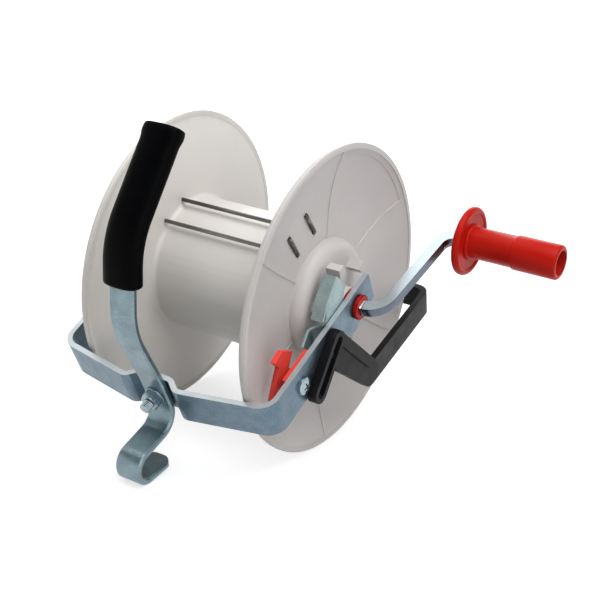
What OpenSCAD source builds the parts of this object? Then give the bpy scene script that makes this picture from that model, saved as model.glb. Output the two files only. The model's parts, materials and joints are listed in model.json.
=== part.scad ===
// Electric fence reel: a drum on a square crank axle, carried in a U-shaped frame
// with a handle, a fence hook, a spool lock and a wire guide.
// X runs along the axle towards the crank, Y towards the back, Z up from the floor.

/* [Spool] */
// Outer diameter of both flanges
flange_d = 230; // [200:1:260]
// Width over the two rims
spool_w = 141; // [130:1:160]
// Thickness of the flange sheet
flange_t = 3; // [2:0.25:4]
// Depth of the flange face from the rim to the hub
flange_dish = 9.5; // [5:0.5:12]
// Radius where the flange face starts to curve out to the rim
bowl_in_r = 62; // [58:1:70]
// Radial height of the rolled rim
rim_h = 4; // [3:0.5:6]
// Axial thickness of the rolled rim
rim_t = 4.5; // [4:0.25:6]
// How far the rim stands out from the flange face
rim_proud = 1; // [0.5:0.25:1.5]
// Outer diameter of the drum barrel
drum_d = 102; // [94:1:108]
// Wall of the drum barrel
drum_wall = 3; // [2:0.5:5]
// Fillet between barrel and flange
drum_fillet = 3; // [2:0.5:6]
// Length of the flange spigot inside the barrel
spigot_l = 10; // [6:1:16]

/* [Hub and lugs] */
// Diameter of the raised hub on the right flange
hub_d = 90; // [84:1:92]
// Height of the hub above the flange face
hub_rise = 10; // [8:0.5:11]
// Rounding of the hub edge
hub_round = 9; // [6:0.5:9.5]
// Diameter of the boss around the square bore
boss_d = 24; // [18:0.5:26]
// Number of locking lugs
lug_count = 6; // [4:1:8]
// Width of a lug
lug_w = 6.5; // [5:0.5:8]
// Inner radius of the lugs
lug_in_r = 25.5; // [23:0.5:27]
// Outer radius of the lugs
lug_out_r = 33; // [30:0.25:33]
// Height of the lugs above the hub
lug_rise = 11; // [8:0.5:11.5]
// Direction of the first lug
lug_angle = 111.5; // [90:0.5:130]
// Number of stiffening ribs
rib_count = 6; // [3:1:9]
// Width of a stiffening rib
rib_w = 1.6; // [1:0.1:3]
// Height of a stiffening rib
rib_rise = 0.7; // [0.4:0.1:0.9]
// Direction of the first rib
rib_angle = 89; // [60:1:120]
// Inner radius of the sunk panel
panel_in_r = 48; // [47:0.5:60]
// Depth of the sunk panel
panel_depth = 0.7; // [0.2:0.1:1]

/* [Contact wires] */
// Diameter of a contact wire
wire_d = 3; // [2:0.25:3]
// Gap between a contact wire and the barrel
wire_gap = 3.5; // [3.5:0.25:6]
// Direction of the first contact wire
wire_angle = 131; // [100:1:150]
// Angle from the first to the second contact wire
wire_pitch = 24; // [15:1:60]
// Length of the turned-over end
wire_leg = 20; // [10:1:26]
// Bend radius of the turned-over end
wire_bend = 3; // [2.5:0.25:4]
// Height of the turned-over end above the flange face, at its axis
wire_rise = 0.6; // [0.2:0.1:1]
// Play of the turned-over end in its slot
slot_play = 0.7; // [0.3:0.1:0.8]

/* [Axle and crank] */
// Side of the square crank bar
bar_side = 8; // [7:0.25:9]
// Bend radius of the crank bar at the axle
bar_bend = 16; // [12:0.5:18]
// Bend radius of the crank bar at the grip
pin_bend = 12; // [9:0.5:14]
// Radius of the crank
crank_r = 83; // [70:1:100]
// Direction of the crank
crank_angle = 29.7; // [0:0.1:90]
// Lean of the crank arm away from the frame
crank_lean = 8; // [2:1:15]
// Straight length between the right bush and the crank bend
crank_stand = 1.4; // [1:0.1:6]
// Length of the axle beyond the left bush
axle_stub = 5; // [4:0.5:10]
// Outer diameter of the bush sleeves
sleeve_d = 15; // [13:0.5:16]
// Diameter of the bush flanges
bush_d = 18.5; // [17.5:0.5:24]
// Thickness of the bush flanges
bush_t = 2.8; // [2:0.2:4]
// Diameter of the collars inside the frame arms
collar_d = 24; // [20:0.5:28]
// Thickness of the collars
collar_t = 3.4; // [2.5:0.1:3.6]
// Diameter of the axle clip
clip_d = 20; // [15:0.5:24]
// Thickness of the sheet clips
clip_t = 1.6; // [1:0.1:2.5]

/* [Crank grip] */
// Diameter of the grip pin
pin_d = 7.6; // [6:0.2:7.8]
// Gap between the crank bend and the guard disc
grip_stand = 5.5; // [4:0.5:12]
// Diameter of the guard disc
disc_d = 51; // [40:1:60]
// Thickness of the guard disc
disc_t = 4.4; // [3:0.2:6]
// Diameter of the inner half of the grip
barrel_d = 23.4; // [20:0.2:25]
// Length of the inner half of the grip
barrel_l = 35; // [25:1:45]
// Diameter of the outer half of the grip
step_d = 25.4; // [24:0.2:30]
// Length of the outer half of the grip
step_l = 34.5; // [25:1:45]
// Diameter of the hollow in the grip end
mouth_d = 17; // [14:0.5:19]
// Depth of the hollow in the grip end
mouth_l = 12; // [8:1:20]
// Length of the pin beyond its clip
pin_past = 3; // [1:0.5:5]

/* [Frame] */
// Room between a rim and a frame arm
yoke_room = 17.5; // [16.5:0.5:22]
// Sideways offset of the frame from the spool
yoke_shift = -2; // [-3:0.5:0]
// Sideways offset of the clamp from the middle of the frame
clamp_shift = -3.5; // [-5:0.5:0]
// Width of the frame bar
yoke_w = 29; // [26:1:32]
// Thickness of the frame bar
yoke_t = 4; // [3:0.25:5]
// Tilt of the frame above level
yoke_tilt = 26.5; // [20:0.5:30]
// Room between the flange rims and the middle of the base
base_room = 3; // [3:0.5:12]
// Room between the strap edges and the joggle bends
joggle_room = 0.3; // [0.3:0.1:2]
// Bend angle of the joggle
joggle_turn = 40; // [25:1:45]
// Bend radius of the joggle
joggle_bend = 7; // [6:0.5:12]
// Straight length of the joggle
joggle_leg = 6; // [4:0.1:10]
// Slope of the base towards the corners
base_slope = 9; // [0:1:14]
// Bend radius of the corners
corner_bend = 12; // [8:1:16]
// Length of the arms beyond the axle
arm_past = 20; // [18:1:30]
// Length of the slanted edge at the arm ends
arm_slant_l = 30; // [10:1:34]
// Height lost by the slanted edge at the arm ends
arm_slant_h = 6; // [2:0.5:8]

/* [Handle and hook] */
// Width of the handle strap
strap_w = 21; // [18:1:24]
// Thickness of the handle strap
strap_t = 5; // [4:0.5:6]
// Edge break of the strap
strap_edge = 1.3; // [0.5:0.1:1.9]
// Straight length of the strap above the bolt
strap_foot = 12; // [10:1:20]
// Forward bend of the strap above the bolt
strap_kick = 5.4; // [1:0.1:8]
// Radius of that forward bend
kick_bend = 60; // [40:5:90]
// Straight length of the strap below its middle bend
strap_up = 35; // [25:1:45]
// Bend radius in the middle of the strap
strap_bend = 60; // [40:5:90]
// Straight length of the strap below the handle bend
strap_mid = 28; // [20:1:36]
// Bend radius of the handle
handle_bend = 60; // [40:1:80]
// Lean of the handle towards the back
handle_lean = 33.5; // [20:0.5:45]
// Straight length of the handle
handle_l = 57.5; // [45:0.5:80]
// Straight length below the handle bend that the sleeve covers
sleeve_tuck = 13; // [6:0.5:16]
// Width of the handle sleeve
grip_w = 29; // [26:1:34]
// Thickness of the handle sleeve
grip_t = 17; // [14:0.5:22]
// Closed end of the handle sleeve
grip_end = 4; // [2:0.5:8]
// Height of the lip at the end of the sleeve
grip_lip = 1.5; // [0.5:0.25:3]
// Straight length of the strap below the washer
strap_down = 0.4; // [0.3:0.1:6]
// Bend radius where the strap turns forward
hook_neck = 16; // [12:0.5:20]
// Angle of the hook leg from upright
hook_lean = 70; // [50:1:75]
// Bend radius of the hook
hook_bend = 11; // [8:0.5:12]
// Rise of the hook foot
foot_rise = 10; // [0:1:20]
// Length of the hook foot
foot_l = 24; // [10:1:30]
// Rounding of the hook foot corners
foot_round = 8; // [3:0.5:12]

/* [Clamp bolt] */
// Diameter of the clamp bolt
bolt_d = 8; // [6:1:10]
// Width across flats of the bolt head and nut
hex_w = 13; // [12:0.5:16]
// Height of the bolt head
head_h = 5.3; // [4:0.1:7]
// Height of the nut
nut_h = 6.5; // [5:0.1:8]
// Diameter of the washer
washer_d = 15.5; // [15.5:0.5:20]
// Thickness of the washer
washer_t = 1.6; // [1:0.1:2.5]
// Length of the bolt beyond the nut
bolt_past = 6; // [3:0.5:14]
// Pitch of the thread
thread_pitch = 1.25; // [1:0.25:1.5]
// Depth of the thread
thread_depth = 0.5; // [0.3:0.05:0.7]

/* [Spool lock] */
// Distance from the lock screw to the base
lock_room = 39; // [36:0.5:42]
// Diameter of the lock screw
screw_d = 5; // [4:0.25:6]
// Diameter of the screw head
screw_head_d = 13; // [10:0.5:14]
// Height of the screw head
screw_head_h = 3.8; // [2.5:0.1:4.5]
// Width of the cross recess
cross_w = 1.4; // [0.8:0.1:1.8]
// Length of the cross recess
cross_l = 6.6; // [4:0.2:8]
// Depth of the cross recess
cross_depth = 2.2; // [1:0.1:2.4]
// Width across flats of the lock nut
lock_nut_w = 8; // [7:0.25:8.5]
// Height of the lock nut
lock_nut_h = 2.7; // [2:0.1:2.7]
// Thickness of the lock leaf
leaf_t = 2; // [1.5:0.1:2.2]
// Radius of the leaf eye
leaf_eye_r = 7.5; // [6:0.25:8]
// Thickness of the lever plate next to the arm
lever_bar_t = 4.3; // [3:0.1:4.4]
// Thickness of the finger tab
tab_t = 4; // [3:0.2:4.5]
// Radius of the lever hub
lever_hub_r = 8.5; // [7.5:0.25:9]
// Radius of the lever neck between the finger tab and the leaf
lever_neck_r = 4.5; // [3.5:0.25:6]
// Room between the flange face and the finger tab
tab_stand = 10; // [6:0.5:10.5]

/* [Wire guide] */
// How far the outline of the guide goes beyond the lock reach
guide_room = 21; // [18:0.5:24]
// Thickness of the guide plate
guide_t = 5; // [4:0.25:6]
// Width of the guide leg
guide_leg_w = 15; // [12:0.5:17]
// Height of the guide leg above the arm
guide_leg_h = 7; // [6:0.25:8]
// Width of the channel in the leg
channel_w = 7.5; // [6:0.25:9]
// Depth of the channel in the leg
channel_depth = 4.4; // [2:0.2:4.6]
// Width of the rim along the web
guide_rim_w = 8; // [4:0.5:10]
// Distance of the rim from the edge of the web
guide_rim_inset = 0.6; // [0.3:0.1:2]
// Height of the rim along the web
guide_rim_h = 1.4; // [0.8:0.1:2]
// Width of the guide arm
guide_arm_w = 19; // [16:0.5:22]
// Length of the guide arm
guide_arm_l = 100; // [97:0.5:108]
// Slope of the guide arm against the frame
guide_slope = 14; // [10:0.5:16]
// Inward lean of the guide arm
guide_lean = 5; // [3:0.5:6]
// Bend radius of the guide arm
guide_bend = 9; // [6:0.5:12]
// Length of the guide finger behind the flange
finger_l = 50; // [30:1:80]
// Diameter of the guide rivets
rivet_d = 4; // [3:0.25:5]
// Diameter of the rivet heads
rivet_head_d = 6.6; // [5:0.2:7]
// Height of the rivet heads
rivet_head_h = 1.5; // [1:0.1:2.5]

/* [Fits] */
// Gap between pieces that are fastened together
snug = 0.03; // [0.01:0.01:0.08]
// Radial gap of the turning fits
turn_gap = 0.08; // [0.04:0.01:0.1]
// End gap between pieces that turn on each other
end_gap = 0.3; // [0.2:0.05:0.5]
// Extra length of every cut
over = 1; // [0.5:0.5:2]
// Edge break of the small round pieces
edge = 0.6; // [0.2:0.1:1]

/* [Hidden] */
$fn = 64;
hex = 6;
// Lap of a bend into the straight pieces at its ends, and its section as a share of theirs
bend_lap = 0.05;
bend_share = 0.998;
axle_h = flange_d / 2;
rim_in_r = axle_h - rim_h;
rim_x = spool_w / 2;
hub_r = hub_d / 2;
drum_r = drum_d / 2;
edge_x = rim_x - rim_proud;

// Flange face: flat round the hub, then an arc out to the rim, its radius rounded to a tenth
hub_x = edge_x - flange_dish;
bowl_run = rim_in_r - bowl_in_r;
bowl_r = round(5 * (bowl_run * bowl_run + flange_dish * flange_dish) / flange_dish) / 10;
bowl_x = hub_x + bowl_r;
function face_x(r) = r < bowl_in_r ? hub_x : bowl_x - sqrt(bowl_r * bowl_r - pow(r - bowl_in_r, 2));
hub_top_x = hub_x + hub_rise;
lug_top_x = hub_top_x + lug_rise;
drum_half = face_x(drum_r) - flange_t;

// Frame, lock and guide follow the spool
yoke_inside = spool_w + 2 * yoke_room;
base_reach = axle_h + base_room;
lock_reach = base_reach - lock_room;
guide_size = lock_reach + guide_room;
clamp_x = yoke_shift + clamp_shift;
right_in_x = yoke_inside / 2 + yoke_shift;
right_out_x = right_in_x + yoke_t;
left_in_x = yoke_inside / 2 - yoke_shift;
left_out_x = left_in_x + yoke_t;

// Contact wire: its turned-over end lies along the flange face
wire_r = drum_r + wire_gap + wire_d / 2;
leg_r = wire_r + wire_bend;
face_lean = atan((face_x(leg_r + wire_leg) - face_x(leg_r)) / wire_leg);
wire_turn = 90 - face_lean;
wire_x = face_x(leg_r) + wire_rise - wire_bend * sin(wire_turn);

// Crank run: radial rise and axial stand of the two bends
crank_turn = 90 - crank_lean;
bend_rise = (bar_bend + pin_bend) * (1 - cos(crank_turn));
crank_leg = (crank_r - bend_rise) / sin(crank_turn);
crank_x = right_out_x + end_gap + bush_t + crank_stand;
pin_x = crank_x + (bar_bend + pin_bend) * sin(crank_turn) + crank_leg * cos(crank_turn);
axle_end_x = left_out_x + end_gap + bush_t + axle_stub;
axle_l = crank_x + axle_end_x;
grip_x = pin_x + grip_stand;
step_x = grip_x + disc_t + barrel_l;
grip_end_x = step_x + step_l;
mouth_x = grip_end_x - mouth_l;
pin_l = mouth_x + end_gap + clip_t + pin_past - pin_x;

// Frame run from the clamp to an arm: the base leg is what is left of the half width
half_w = yoke_inside / 2 + yoke_t / 2;
joggle_flat = strap_w / 2 + joggle_room;
joggle_run = joggle_flat + joggle_bend * sin(joggle_turn) + joggle_leg * cos(joggle_turn);
slope_run = joggle_bend * (sin(joggle_turn) + sin(base_slope));
corner_run = corner_bend * (1 - sin(base_slope));
joggle_fall = joggle_bend * (1 - cos(joggle_turn)) + joggle_leg * sin(joggle_turn);
slope_fall = joggle_bend * (cos(base_slope) - cos(joggle_turn));
function base_leg(half) = (half - joggle_run - slope_run - corner_run) / cos(base_slope);
function corner_rise(half) = base_leg(half) * sin(base_slope) + corner_bend * cos(base_slope);
function arm_l(half) = base_reach + joggle_fall + slope_fall - corner_rise(half) + arm_past;
function yoke_steps(half) = [
    [joggle_flat, -joggle_turn, joggle_bend],
    [joggle_leg, joggle_turn + base_slope, joggle_bend],
    [base_leg(half), 90 - base_slope, corner_bend],
    [arm_l(half), 0, 0]
];

// Strap runs: upwards to the handle and downwards to the hook
strap_reach = base_reach + yoke_t / 2 + strap_t / 2;
strap_lean = yoke_tilt + strap_kick;
strap_steps = [
    [strap_foot, strap_kick, kick_bend],
    [strap_up, -strap_lean, strap_bend],
    [strap_mid, -handle_lean, handle_bend],
    [handle_l, 0, 0]
];
sleeve_steps = [
    [sleeve_tuck, -handle_lean, handle_bend],
    [handle_l, 0, 0]
];
neck_l = washer_d / 2 + strap_down;
neck_fall = strap_reach * sin(yoke_tilt) + neck_l * cos(yoke_tilt) + hook_neck * sin(yoke_tilt);
hook_fall = neck_fall + (hook_neck + hook_bend) * sin(hook_lean) + hook_bend + strap_t / 2;
hook_leg = (axle_h - hook_fall) / cos(hook_lean);
hook_steps = [
    [neck_l, -yoke_tilt - hook_lean, hook_neck],
    [hook_leg, hook_lean + 90 + foot_rise, hook_bend],
    [foot_l, 0, 0]
];

// Clamp bolt positions along the frame, from the axle
head_y = base_reach - yoke_t / 2;
washer_y = strap_reach + strap_t / 2;
nut_y = washer_y + washer_t;
bolt_y = nut_y + nut_h + bolt_past;
thread_count = floor((bolt_past + nut_h / 2) / thread_pitch);

// Lock positions along the axle
bar_x = right_in_x - end_gap - lever_bar_t;
leaf_x = bar_x - end_gap - leaf_t / 2;
tab_x = face_x(lock_reach + lever_hub_r) + tab_stand;
hub_end_x = leaf_x - leaf_t / 2 - end_gap;
nut_end_x = tab_x + lock_nut_h;
tongue_x = hub_top_x + lug_rise / 2;
web_x = right_in_x - end_gap - leaf_t - end_gap;

// Leaf run, in shares of the lock reach: along the arm, then bowed inwards and back
leaf_tail_share = 0.33;
leaf_slope_share = 0.215;
leaf_return_share = 0.105;
leaf_web_share = 0.40;
leaf_bend_share = 0.05;
leaf_bow = 14;
leaf_back = 48;
leaf_start_share = 1.11;
leaf_steps = [
    [leaf_tail_share * lock_reach, leaf_bow, leaf_bend_share * lock_reach],
    [leaf_slope_share * lock_reach, -leaf_bow - leaf_back, leaf_bend_share * lock_reach],
    [leaf_return_share * lock_reach, leaf_back, leaf_bend_share * lock_reach],
    [leaf_web_share * lock_reach, 0, 0]
];
leaf_shares = [
    [-1.00, -0.095], [-0.506, -0.114], [-0.253, -0.114], [-0.234, 0.101], [-0.025, 0.304],
    [-0.139, 0.460], [-0.335, 0.362], [-0.445, 0.175], [-0.722, 0.152], [-0.785, 0.076], [-1.00, 0.076]
];
tongue_shares = [
    [-0.449, 0.222], [-0.325, 0.343], [-0.139, 0.449], [-0.113, 0.416], [-0.085, 0.423],
    [-0.111, 0.465], [-0.127, 0.489], [-0.341, 0.366], [-0.468, 0.235]
];
bar_shares = [
    [-1.228, -0.101], [-0.861, -0.089], [-0.722, 0.076], [-0.734, 0.152], [-1.114, 0.152],
    [-1.139, 0.050], [-1.228, -0.025]
];
bridge_shares = [[-1.241, -0.101], [-1.139, -0.101], [-1.139, -0.025], [-1.241, -0.025]];
tab_shares = [
    [-1.241, -0.101], [-0.992, -0.101], [-0.992, 0.016], [-0.819, 0.187], [-0.937, 0.310],
    [-1.076, 0.291], [-1.035, 0.195], [-1.241, -0.018]
];

// Guide positions, in shares of the guide size
leg_top_share = [-0.38, 0.05];
leg_foot_share = [-0.71, -0.15];
web_shares = [
    [-0.317, 0.095], [-0.016, -0.535], [0.000, -0.620], [-0.050, -0.710], [-0.131, -0.695],
    [-0.193, -0.651], [-0.472, -0.170], [-0.45, 0.02]
];
web_corner_share = [-0.1065, -0.601];
web_round_share = 0.099;
web_rim_shares = [[-0.317, 0.095], [-0.045, -0.475]];
arm_share = [-0.089, -0.6105];
rivet_leg_shares = [1, 0.72];
rivet_spots = [
    for (share = rivet_leg_shares)
        guide_size * (leg_foot_share + share * (leg_top_share - leg_foot_share))
];
guide_x = right_out_x + snug;

// Middle of the whole reel, which stands over the origin
lean_left = yoke_tilt - guide_slope;
finger_run = (guide_arm_l + guide_bend * cos(guide_lean)) * cos(guide_lean)
    - guide_bend * (1 - sin(guide_lean)) * sin(guide_lean) + guide_t / 2;
guide_y = guide_size * (arm_share[0] * cos(yoke_tilt) - arm_share[1] * sin(yoke_tilt));
back_y = guide_y + finger_run * cos(lean_left) + guide_arm_w / 2 * sin(lean_left);
foot_y = strap_reach * cos(yoke_tilt) + strap_foot * sin(yoke_tilt);
kick_y = foot_y + kick_bend * (cos(yoke_tilt) - cos(strap_lean));
front_y = kick_y + strap_up * sin(strap_lean) + strap_bend * (1 - cos(strap_lean)) + grip_t / 2;
mid_x = (grip_end_x - axle_end_x) / 2;
mid_y = (back_y - front_y) / 2;

// Moves its children to the axle
module at_axle() {
    translate([-mid_x, -mid_y, axle_h])
        children();
}

// Axle frame tilted with the arms: Y along the arms, Z across the bar
module in_frame() {
    at_axle()
        rotate([yoke_tilt, 0, 0])
            children();
}

// Turns a profile of radius and axial place about the axle
module lathe() {
    rotate([0, 90, 0])
        rotate_extrude()
            children();
}

// Bar that follows steps of length, turn and bend radius along local X
module run(steps, i = 0) {
    length = steps[i][0];
    turn = steps[i][1];
    bend = steps[i][2];
    side = turn > 0 ? 1 : -1;
    lap = bend > 0 ? bend_lap / bend * 180 / PI : 0;
    if (length > 0)
        rotate([90, 0, 90])
            linear_extrude(length)
                children();
    translate([length, side * bend, 0]) {
        if (turn != 0)
            rotate([0, 0, -side * (90 + lap)])
                rotate_extrude(angle = turn + 2 * side * lap)
                    translate([bend, 0])
                        scale(bend_share)
                            children();
        if (i + 1 < len(steps))
            rotate([0, 0, turn])
                translate([0, -side * bend, 0])
                    run(steps, i + 1)
                        children();
    }
}

// Places its children at the end of a run
module after(steps, i = 0) {
    length = steps[i][0];
    turn = steps[i][1];
    bend = steps[i][2];
    side = turn > 0 ? 1 : -1;
    translate([length, side * bend, 0])
        rotate([0, 0, turn])
            translate([0, -side * bend, 0])
                if (i + 1 < len(steps))
                    after(steps, i + 1)
                        children();
                else
                    children();
}

// Flat section of a bar with square edges
module flat(t, w) {
    square([t, w], center = true);
}

// Flat section of a bar with broken edges
module broken_flat(t, w, cut) {
    polygon([
        [t / 2 - cut, -w / 2], [t / 2, cut - w / 2], [t / 2, w / 2 - cut], [t / 2 - cut, w / 2],
        [cut - t / 2, w / 2], [-t / 2, w / 2 - cut], [-t / 2, cut - w / 2], [cut - t / 2, -w / 2]
    ]);
}

// Flat section with round edges
module oval(t, w) {
    square([t, w - t], center = true);
    for (end = [-1, 1])
        translate([0, end * (w - t) / 2])
            circle(d = t);
}

// Rod along X from one place to another
module rod(d, from_x, to_x) {
    translate([from_x, 0, 0])
        rotate([0, 90, 0])
            cylinder(d = d, h = to_x - from_x);
}

// Ring along X with broken edges
module ring(d, bore, from_x, to_x) {
    lathe()
        polygon([
            [bore / 2, from_x], [d / 2 - edge, from_x], [d / 2, from_x + edge],
            [d / 2, to_x - edge], [d / 2 - edge, to_x], [bore / 2, to_x]
        ]);
}

// Square bore for the crank bar
module square_bore(from_x, to_x) {
    side = bar_side + 2 * snug;
    rotate([crank_angle, 0, 0])
        translate([from_x - over, -side / 2, -side / 2])
            cube([to_x - from_x + 2 * over, side, side]);
}

// Plate across the axle with an outline in shares of a size
module plate(shares, size, from_x, to_x) {
    translate([from_x, 0, 0])
        rotate([90, 0, 90])
            linear_extrude(to_x - from_x)
                polygon(size * shares);
}

// Place on the frame arm at a reach ahead of the axle
module at_lock() {
    translate([0, -lock_reach, 0])
        children();
}

// Axle hole in an arm
module arm_hole(d) {
    rod(d, -left_out_x - over, right_out_x + over);
}

// One side of the bent frame bar, starting at the clamp
module yoke_half(half) {
    run(yoke_steps(half))
        flat(yoke_t, yoke_w);
}

// Wedge that slants the lower edge of both arm ends
module arm_slant() {
    low = -yoke_w / 2;
    translate([-left_out_x - over, 0, 0])
        rotate([90, 0, 90])
            linear_extrude(left_out_x + right_out_x + 2 * over)
                polygon([
                    [arm_past - arm_slant_l, low - over], [arm_past - arm_slant_l, low],
                    [arm_past + over, low + arm_slant_h], [arm_past + over, low - over]
                ]);
}

// U-shaped frame of bent flat bar
module frame_yoke() {
    color("silver")
        in_frame()
            difference() {
                translate([clamp_x, -base_reach, 0]) {
                    yoke_half(half_w - clamp_shift);
                    mirror([1, 0, 0])
                        yoke_half(half_w + clamp_shift);
                }
                arm_slant();
                arm_hole(sleeve_d + 2 * turn_gap);
                translate([clamp_x, -strap_reach, 0])
                    rotate([-90, 0, 0])
                        cylinder(d = bolt_d + 2 * snug, h = strap_reach - head_y + over);
                at_lock()
                    rod(screw_d + 2 * snug, right_in_x - over, right_out_x + over);
                for (spot = rivet_spots)
                    translate([0, spot[0], spot[1]])
                        rod(rivet_d + 2 * snug, right_in_x - over, right_out_x + over);
            }
}

// Starts of the two strap runs at the clamp bolt
module strap_top() {
    translate([clamp_x, -strap_reach, 0])
        rotate(a = 180, v = [1, 0, 1])
            children();
}

// Corner cut that rounds the foot on one side
module foot_corner() {
    translate([foot_l - foot_round, 0, strap_w / 2 - foot_round])
        difference() {
            translate([0, -strap_t, 0])
                cube([foot_round + over, 2 * strap_t, foot_round + over]);
            rotate([90, 0, 0])
                cylinder(r = foot_round, h = 3 * strap_t, center = true);
        }
}

// Strap bent into the handle and the fence hook
module handle_strap() {
    color("silver")
        in_frame()
            difference() {
                union() {
                    strap_top()
                        run(strap_steps)
                            broken_flat(strap_t, strap_w, strap_edge);
                    translate([clamp_x, -strap_reach, 0])
                        rotate([0, 90, 0])
                            run(hook_steps)
                                broken_flat(strap_t, strap_w, strap_edge);
                }
                translate([clamp_x, -strap_reach, 0])
                    rotate([0, 90, 0])
                        after([hook_steps[0], hook_steps[1]])
                            for (side = [0, 1])
                                mirror([0, 0, side])
                                    foot_corner();
                translate([clamp_x, -strap_reach, 0])
                    rotate([90, 0, 0])
                        cylinder(d = bolt_d + 2 * snug, h = 2 * strap_t, center = true);
            }
}

// Moulded sleeve on the handle, closed at the end and with a lip
module handle_grip() {
    color("black")
        in_frame()
            strap_top()
                after([strap_steps[0], strap_steps[1]])
                    translate([strap_mid - sleeve_tuck, 0, 0])
                        difference() {
                            union() {
                                run(sleeve_steps)
                                    oval(grip_t, grip_w);
                                after(sleeve_steps)
                                    translate([-grip_end, 0, 0])
                                        run([[2 * grip_end, 0, 0]])
                                            oval(grip_t + 2 * grip_lip, grip_w + 2 * grip_lip);
                            }
                            run(sleeve_steps)
                                flat(strap_t + 2 * snug, strap_w + 2 * snug);
                        }
}

// Hexagon with turned corners, standing on its seat
module hexagon(w, h) {
    corner_r = w / 2 / cos(180 / hex);
    intersection() {
        cylinder(r = corner_r, h = h, $fn = hex);
        rotate_extrude()
            polygon([
                [0, 0], [corner_r - edge, 0], [corner_r, edge],
                [corner_r, h - edge], [w / 2, h], [0, h]
            ]);
    }
}

// Clamp bolt axis, pointing forward from the axle
module on_bolt(reach) {
    translate([clamp_x, -reach, 0])
        rotate([90, 0, 0])
            children();
}

// Bolt through the base and the strap
module clamp_bolt() {
    color("silver")
        in_frame() {
            on_bolt(head_y)
                cylinder(d = bolt_d, h = bolt_y - head_y - thread_count * thread_pitch);
            on_bolt(head_y)
                mirror([0, 0, 1])
                    hexagon(hex_w, head_h);
            on_bolt(bolt_y)
                for (i = [1:thread_count])
                    translate([0, 0, -i * thread_pitch])
                        rotate_extrude()
                            polygon([
                                [0, 0], [bolt_d / 2 - thread_depth, 0],
                                [bolt_d / 2, thread_pitch / 2],
                                [bolt_d / 2 - thread_depth, thread_pitch], [0, thread_pitch]
                            ]);
        }
}

// Washer on the strap
module clamp_washer() {
    color("silver")
        in_frame()
            on_bolt(washer_y)
                difference() {
                    cylinder(d = washer_d, h = washer_t);
                    translate([0, 0, -over])
                        cylinder(d = bolt_d + 2 * snug, h = washer_t + 2 * over);
                }
}

// Nut on the washer
module clamp_nut() {
    color("silver")
        in_frame()
            on_bolt(nut_y)
                difference() {
                    hexagon(hex_w, nut_h);
                    translate([0, 0, -over])
                        cylinder(d = bolt_d + 2 * snug, h = nut_h + 2 * over);
                }
}

// Barrel that the cord is wound on
module drum_barrel() {
    color("ivory")
        at_axle()
            difference() {
                rod(drum_d, -drum_half, drum_half);
                rod(drum_d - 2 * drum_wall, -drum_half - over, drum_half + over);
            }
}

// Profile of a flange: dished sheet, rim, hub, boss and barrel seat
module flange_profile(boss_x) {
    seat_x = face_x(drum_r) - flange_t;
    face_layer(-flange_t, 0, hub_r - flange_t, rim_in_r + rim_h / 2);
    translate([rim_in_r, rim_x - rim_t])
        square([rim_h - rim_proud, rim_t]);
    translate([axle_h - rim_h / 2, rim_x - rim_t / 2])
        intersection() {
            circle(d = rim_t * 2);
            square([rim_h, rim_t - 2 * edge], center = true);
        }
    difference() {
        union() {
            translate([0, hub_x - flange_t])
                square([hub_r, hub_rise + flange_t - hub_round]);
            translate([0, hub_x - flange_t])
                square([hub_r - hub_round, hub_rise + flange_t]);
            translate([hub_r - hub_round, hub_top_x - hub_round])
                circle(r = hub_round);
        }
        translate([-hub_r, hub_x - flange_t - over])
            square([2 * hub_r - hub_round, hub_rise + over]);
        translate([0, hub_x - flange_t - 2 * hub_round])
            square([hub_r, 2 * hub_round]);
        translate([-hub_r, -axle_h])
            square([hub_r, 2 * axle_h]);
    }
    translate([0, drum_half - spigot_l])
        square([boss_d / 2, boss_x - drum_half + spigot_l]);
    translate([drum_r - drum_wall - flange_t, drum_half - spigot_l])
        square([flange_t - snug, spigot_l + flange_t / 2]);
    translate([drum_r + snug, seat_x - drum_fillet])
        difference() {
            square([drum_fillet, drum_fillet + flange_t / 2]);
            translate([drum_fillet, 0])
                circle(r = drum_fillet);
        }
}

// Dished layer that follows the flange face between two radii
module face_layer(low, high, from_r, to_r) {
    translate([from_r, hub_x + low])
        square([bowl_in_r - from_r, high - low]);
    intersection() {
        translate([bowl_in_r, bowl_x])
            difference() {
                circle(r = bowl_r - low);
                circle(r = bowl_r - high);
            }
        translate([bowl_in_r, hub_x + low - over])
            square([to_r - bowl_in_r, bowl_r]);
    }
}

// Thin radial ribs on the flange face
module face_ribs() {
    intersection() {
        lathe()
            face_layer(-flange_t / 2, rib_rise, hub_r - hub_round / 2, rim_in_r + rim_proud);
        for (i = [0:rib_count - 1])
            rotate([rib_angle + i * 360 / rib_count, 0, 0])
                translate([0, 0, -rib_w / 2])
                    cube([rim_x + over, axle_h, rib_w]);
    }
}

// Bare sunk panel between two ribs
module face_panel() {
    rotate([rib_angle - 360 / rib_count, 0, 0])
        rotate([90, 0, 90])
            rotate_extrude(angle = 360 / rib_count)
                face_layer(-panel_depth, over, panel_in_r, rim_in_r - rim_h);
}

// Contact wires of a thickness, with both turned-over ends side by side
module wire_runs(d, leg) {
    for (i = [0, 1])
        rotate([wire_angle - i * wire_pitch, 0, 0])
            translate([-face_x(wire_r), wire_r, 0])
                rotate([i * wire_pitch, 0, 0])
                    run([[face_x(wire_r) + wire_x, wire_turn, wire_bend], [leg, 0, 0]])
                        circle(d = d);
}

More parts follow.
